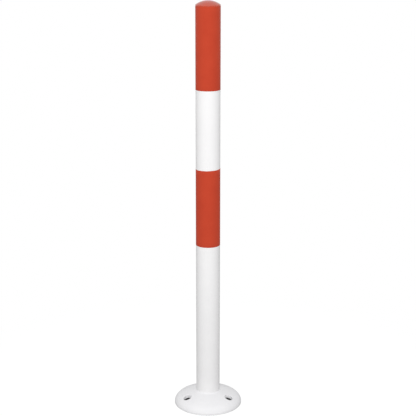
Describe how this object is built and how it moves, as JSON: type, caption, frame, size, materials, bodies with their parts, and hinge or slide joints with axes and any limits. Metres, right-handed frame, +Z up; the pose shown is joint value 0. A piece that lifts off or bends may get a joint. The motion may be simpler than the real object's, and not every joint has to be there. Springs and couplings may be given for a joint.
{
  "type": "bolt-down bollard",
  "caption": "Slim round barrier post with red and white stripes on a domed bolt-down base, closed by a low domed cap.",
  "frame": {"origin": "middle of the base's underside, on the ground", "axes": "+Z up along the post, -Y towards the pictured front, the third bolt hole towards +Y"},
  "size_m": [0.172, 0.172, 1.0292],
  "materials": {
    "white_coating": "smooth gloss white powder coat",
    "red_film": "satin red reflective film",
    "red_cap": "satin red moulded plastic"
  },
  "bodies": {
    "root": {"base_flange": "white_coating", "foot_weld": "white_coating", "post_tube": "white_coating", "upper_red_band": "red_film", "lower_red_band": "red_film", "head_cap": "red_cap"}
  },
  "joints": []
}
